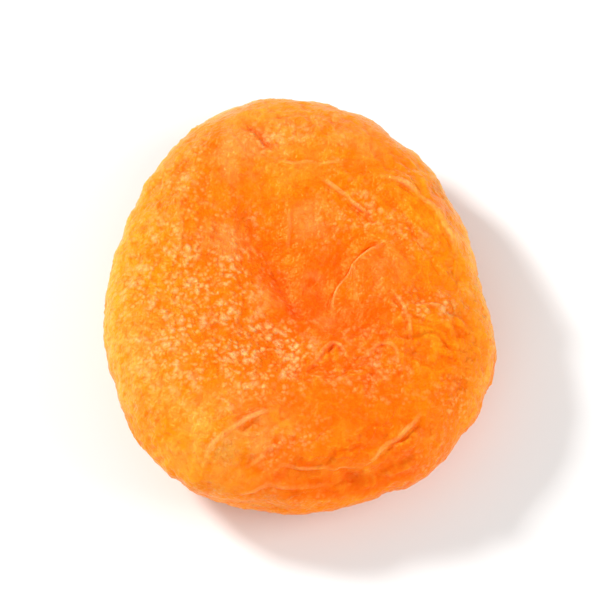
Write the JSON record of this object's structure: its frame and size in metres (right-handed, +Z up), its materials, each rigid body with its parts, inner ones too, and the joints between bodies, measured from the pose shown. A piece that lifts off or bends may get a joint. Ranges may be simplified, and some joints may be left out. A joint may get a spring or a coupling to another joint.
{
  "type": "dried apricot",
  "caption": "Pitted dried apricot, pressed flat: a plump leathery disc with a folded hollow over the lost stone and a puckered rim, resting on a small flat spot.",
  "frame": {"origin": "on the surface that the fruit rests on, under the middle of its bounding box", "axes": "+Z up out of the hollowed upper face, +Y towards the stem end, +X across the fruit"},
  "size_m": [0.034, 0.039, 0.0104],
  "materials": {
    "dried_apricot_skin": "satin"
  },
  "bodies": {
    "root": {"dried_apricot": "dried_apricot_skin"}
  },
  "joints": []
}
